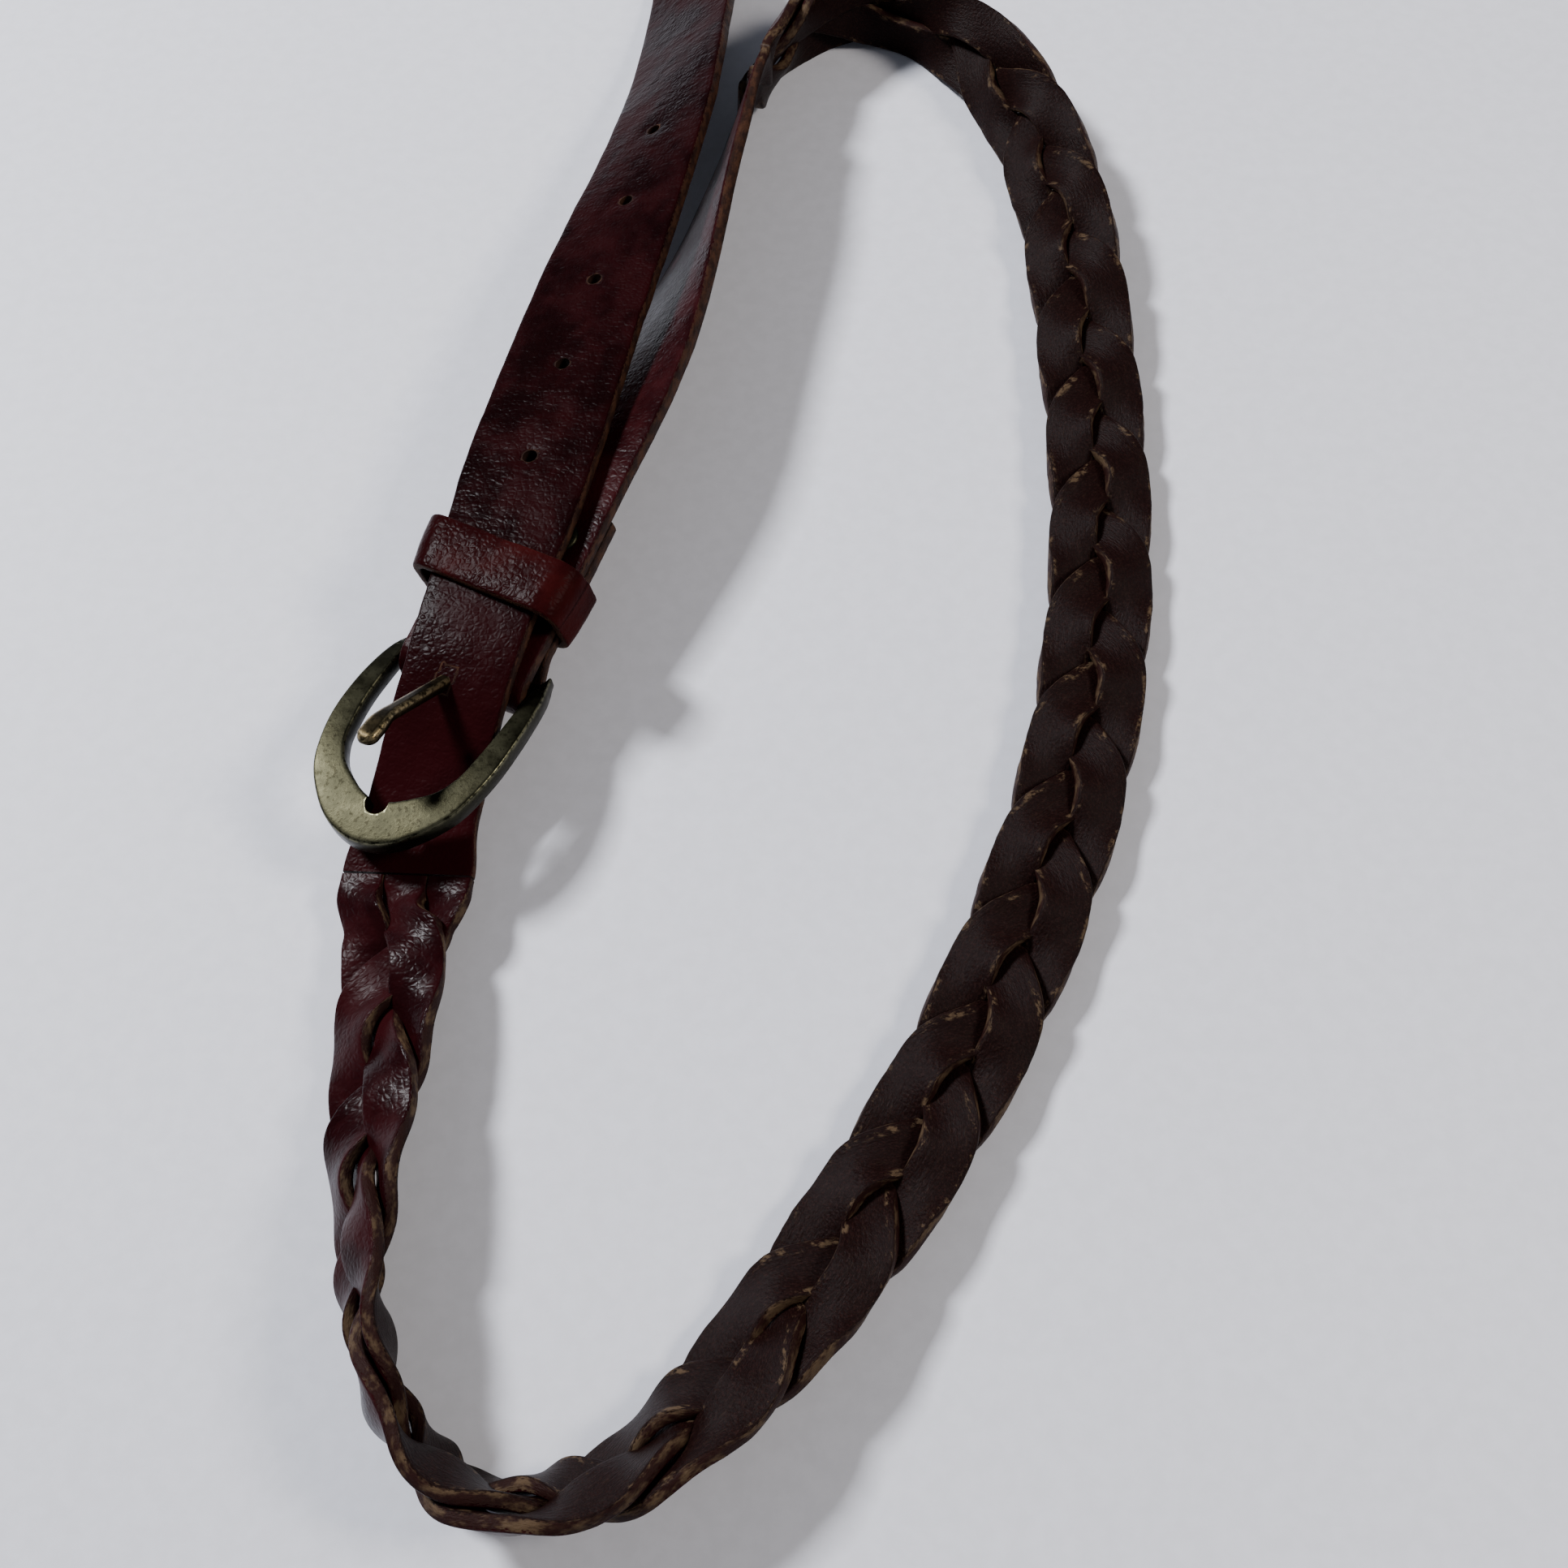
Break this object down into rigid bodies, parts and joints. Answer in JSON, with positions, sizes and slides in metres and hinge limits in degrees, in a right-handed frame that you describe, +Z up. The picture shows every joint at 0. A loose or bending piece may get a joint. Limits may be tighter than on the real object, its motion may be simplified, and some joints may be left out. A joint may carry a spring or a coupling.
{
  "type": "plaited leather belt",
  "caption": "Three-strand plaited leather belt buckled into a loop, with a horseshoe frame buckle, prong, leather keeper and punched tip strap.",
  "frame": {"origin": "middle of the belt's overall box, at the level surface it lies on", "axes": "+Z up, +Y away along the loop's longest extent, +X right; the buckle is on the left side of the loop with its toe toward -Y"},
  "size_m": [0.1724, 0.3886, 0.0337],
  "materials": {
    "strap_leather": "semi-gloss pebbled grain, dark oxblood, raw tan edges",
    "strand_leather": "semi-gloss grain one side, matte fibrous flesh on the other",
    "tip_leather": "dark creased grain",
    "keeper_leather": "semi-gloss pebbled grain",
    "antique_brass": "antiqued, worn bright on the edges",
    "prong_brass": "antiqued, darker",
    "rivet_brass": "antiqued",
    "staple_steel": "plated wire"
  },
  "bodies": {
    "strap": {"buckle_strap": "strap_leather", "strand_outer": "strand_leather", "strand_middle": "strand_leather", "strand_inner": "strand_leather", "tip_strap": "tip_leather", "rivet_posts": "rivet_brass", "rivet_caps": "rivet_brass"},
    "buckle": {"buckle_frame": "antique_brass"},
    "prong": {"prong": "prong_brass"},
    "keeper": {"keeper": "keeper_leather", "keeper_staple": "staple_steel"}
  },
  "joints": [
    {"name": "buckle_hinge", "type": "hinge", "parent": "strap", "child": "buckle", "pos_m": [-0.05797, -0.03613, 0.01232], "axis": [-0.9077, 0.4019, -0.1209], "range_deg": [0, 12]},
    {"name": "prong_hinge", "type": "hinge", "parent": "strap", "child": "prong", "pos_m": [-0.05797, -0.03613, 0.01232], "axis": [-0.9077, 0.4019, -0.1209], "range_deg": [0, 10]},
    {"name": "keeper_slide", "type": "slide", "parent": "strap", "child": "keeper", "axis": [0.4552, 0.8831, 0.1142], "range_m": [-0.003, 0.001]}
  ]
}
